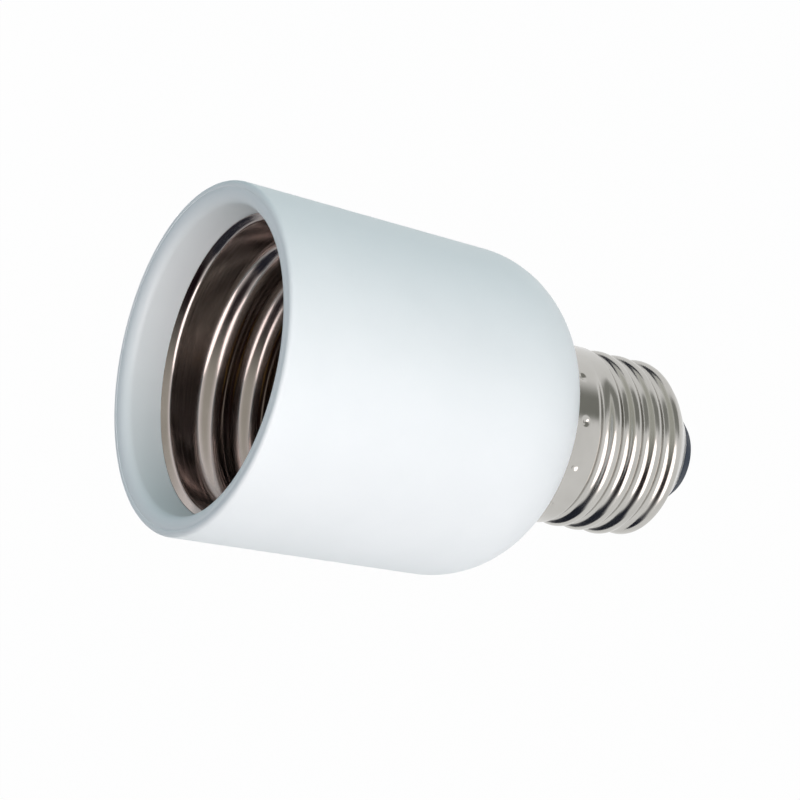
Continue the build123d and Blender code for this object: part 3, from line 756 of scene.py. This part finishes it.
# %% [markdown]
# ## Studio
# The picture has a pure white ground, so the floor and the air behind it are white for the camera and in
# what the metal reflects. A lamp could burn the floor white, but it would burn the body too. The floor
# keeps a little of its real shading, and with it the soft shadow. From below it is clear, so that the tip
# can be looked at too. Higher up, the air dims to a ceiling that is dark on one side, because polished
# metal needs something dark to show.

# %% White air
def seen_rays(tree):
    """One for a ray that is seen directly, off a glossy face or through a clear one, and zero for others."""
    ray = add_node(tree, "ShaderNodeLightPath").outputs
    shown = ray["Is Camera Ray"]
    for other in (ray["Is Glossy Ray"], ray["Is Transmission Ray"]):
        shown = add_node(tree, "ShaderNodeMath", {0: shown, 1: other}, operation="MAXIMUM").outputs[0]
    return shown


scene.world = bpy.data.worlds.new("studio_air")
scene.world.use_nodes = True
tree = scene.world.node_tree
way = add_node(tree, "ShaderNodeTexCoord").outputs["Generated"]
axes = add_node(tree, "ShaderNodeSeparateXYZ", {0: way}).outputs
dims_from, dims_to = 0.25, 0.8
dark_side, light_side = -0.45, 0.35
air_strength = 0.6
dusk = add_node(tree, "ShaderNodeMapRange", {0: axes["Z"], 1: dims_from, 2: dims_to},
                interpolation_type="SMOOTHSTEP")
side = add_node(tree, "ShaderNodeMapRange", {0: axes["X"], 1: dark_side, 2: light_side},
                interpolation_type="SMOOTHSTEP")
ceiling = add_node(tree, "ShaderNodeMix", {0: side.outputs[0], 6: linear("#1E1318"), 7: linear("#C2C3BA")},
                   data_type="RGBA")
sky = add_node(tree, "ShaderNodeMix", {0: dusk.outputs[0], 6: linear("#FFFFFF"), 7: ceiling.outputs[2]},
               data_type="RGBA")
bounce = add_node(tree, "ShaderNodeMix", {0: side.outputs[0], 6: linear("#5A5C70"), 7: linear("#8890A6")},
                  data_type="RGBA")
soft = add_node(tree, "ShaderNodeMix", {0: dusk.outputs[0], 6: linear("#D8FCFC"), 7: bounce.outputs[2]},
                data_type="RGBA")
air = tree.nodes["Background"]
tree.links.new(soft.outputs[2], air.inputs["Color"])
air.inputs["Strength"].default_value = air_strength
white_air = add_node(tree, "ShaderNodeBackground", {"Color": sky.outputs[2], "Strength": 1.0})
shown = add_node(tree, "ShaderNodeMixShader",
                 {0: seen_rays(tree), 1: air.outputs[0], 2: white_air.outputs[0]})
tree.links.new(shown.outputs[0], tree.nodes["World Output"].inputs["Surface"])
print("air:", scene.world.name, "with", len(tree.nodes), "nodes")

# %% White paper floor
paper, tree, shader, place = new_finish("white_paper", Roughness=0.8)
fibre = add_node(tree, "ShaderNodeTexNoise", {"Vector": place, "Scale": 1 / (3 * MM), "Detail": 2.0})
tone = add_node(tree, "ShaderNodeMix", {0: fibre.outputs[0], 6: linear("#EDEFEF"), 7: linear("#F3F5F5")},
                data_type="RGBA")
tree.links.new(tone.outputs[2], shader.inputs["Base Color"])
bright = add_node(tree, "ShaderNodeEmission", {"Color": linear("#FFFFFF"), "Strength": 1.0})
whiteness = 0.98
part = add_node(tree, "ShaderNodeMath", {0: seen_rays(tree), 1: whiteness}, operation="MULTIPLY")
ground = add_node(tree, "ShaderNodeMixShader",
                  {0: part.outputs[0], 1: shader.outputs[0], 2: bright.outputs[0]})
clear = add_node(tree, "ShaderNodeBsdfTransparent")
below = add_node(tree, "ShaderNodeNewGeometry").outputs["Backfacing"]
sheet = add_node(tree, "ShaderNodeMixShader", {0: below, 1: ground.outputs[0], 2: clear.outputs[0]})
tree.links.new(sheet.outputs[0], tree.nodes["Material Output"].inputs["Surface"])
mesh = bpy.data.meshes.new("paper_floor")
floor_z = -30 * MM
reach = 2.0
corners = [(x * reach, y * reach, floor_z) for x, y in ((-1, -1), (1, -1), (1, 1), (-1, 1))]
mesh.from_pydata(corners, [], [(0, 1, 2, 3)])
mesh.materials.append(paper)
paper_floor = bpy.data.objects.new("paper_floor", mesh)
scene.collection.objects.link(paper_floor)
print("floor at", floor_z / MM, "mm")

# %% [markdown]
# ## Lamps
# The light on the body is broad and comes from the viewer's side, a little from below in the picture: the
# lower half of the cylinder is brightest and the top falls off to a cool grey. A large key box does that.
# It is the only lamp that shows in the metal, and it is tall, so that the lines of light on the crests are
# long. A fill box above the camera lifts the inner wall of the mouth, and a small box behind keeps the back
# of the body white. They are placed by the camera's right, up and back directions, because that is how a
# photographer thinks of them.

# %% Soft boxes
turn = camera.rotation_euler.to_matrix()
right, up, back = turn.col[0].copy(), turn.col[1].copy(), turn.col[2].copy()
middle = Vector((0, 0, 45)) * MM
for name, place, tall, wide, watts, colour in (
    ("key_box", (0.12, -0.30, 0.66), 1.05, 0.8, 4.8, "#FBEEEC"),
    ("fill_box", (-0.09, 0.47, 0.62), 0.8, 0.8, 0.9, "#E6FAF6"),
    ("back_box", (-0.33, 0.07, -0.61), 0.2, 0.2, 2.6, "#FFECEA"),
):
    lamp = bpy.data.objects.new(name, bpy.data.lights.new(name, "AREA"))
    lamp.data.shape = "ELLIPSE"
    lamp.data.size = tall
    lamp.data.size_y = wide
    lamp.data.energy = watts
    lamp.data.color = linear(colour)[:3]
    lamp.visible_glossy = name == "key_box"
    lamp.location = middle + right * place[0] + up * place[1] + back * place[2]
    lamp.rotation_euler = (lamp.location - middle).to_track_quat("Z", "Y").to_euler()
    scene.collection.objects.link(lamp)
    print("lamp:", name, [round(v, 3) for v in lamp.location], watts, "W")

# %% [markdown]
# ## Cards
# Bright metal shows only what stands round it, and among white walls it looks like grey paint.
# Photographers stand dark cards beside the camera and behind the object to give it lines. These are seen by
# reflections alone, so that they neither shade the object nor come into the picture. Their sides fade out,
# because a hard edge in the metal would look like a joint. An attribute that runs from -1 to 1 across the
# card drives the fade.

# %% Card finishes
def card_finish(name, dark, light):
    """Matt card that gives the same light from wherever it is seen."""
    material, tree, _, place = new_finish(name)
    tooth = add_node(tree, "ShaderNodeTexNoise", {"Vector": place, "Scale": 1 / (4 * MM), "Detail": 2.0})
    tone = add_node(tree, "ShaderNodeMix", {0: tooth.outputs[0], 6: linear(dark), 7: linear(light)},
                    data_type="RGBA")
    matt = add_node(tree, "ShaderNodeEmission", {"Color": tone.outputs[2], "Strength": 1.0})
    across = add_node(tree, "ShaderNodeAttribute", attribute_name="across").outputs["Fac"]
    offset = add_node(tree, "ShaderNodeMath", {0: across}, operation="ABSOLUTE")
    solid = add_node(tree, "ShaderNodeMapRange", {0: offset.outputs[0], 1: 1.0, 2: 0.5},
                     interpolation_type="SMOOTHSTEP")
    clear = add_node(tree, "ShaderNodeBsdfTransparent")
    faded = add_node(tree, "ShaderNodeMixShader",
                     {0: solid.outputs[0], 1: clear.outputs[0], 2: matt.outputs[0]})
    tree.links.new(faded.outputs[0], tree.nodes["Material Output"].inputs["Surface"])
    return material


grey_card = card_finish("grey_card", "#8A8B86", "#9C9D98")
navy_card = card_finish("navy_card", "#20222C", "#2C2F3C")
print("finishes:", grey_card.name, navy_card.name)

# %% Cards
floor_line = floor_z / MM + 1
for name, finish, turn, edges in (
    ("front_card", grey_card, -42, [(60, 32, floor_line), (160, 85, floor_line), (160, 85, 90)]),
    ("upper_card", navy_card, 35, [(200, 160, 60), (200, 160, 115)]),
    ("lower_card", navy_card, 150, [(200, 170, 30), (200, 170, 280)]),
):
    outwards = Vector((math.cos(math.radians(turn)), math.sin(math.radians(turn)), 0))
    along = outwards.cross(Vector((0, 0, 1)))
    corners = []
    for distance, reach, height in edges:
        middle_of_edge = outwards * distance + Vector((0, 0, height))
        corners += [middle_of_edge - along * reach, middle_of_edge + along * reach]
    faces = [(2 * i, 2 * i + 1, 2 * i + 3, 2 * i + 2) for i in range(len(edges) - 1)]
    mesh = bpy.data.meshes.new(name)
    mesh.from_pydata([corner * MM for corner in corners], [], faces)
    mesh.materials.append(finish)
    mesh.attributes.new("across", "FLOAT", "POINT").data.foreach_set("value", [-1.0, 1.0] * len(edges))
    card = bpy.data.objects.new(name, mesh)
    card.visible_camera = False
    card.visible_diffuse = False
    card.visible_shadow = False
    scene.collection.objects.link(card)
    print("card:", name, "with", len(faces), "faces")
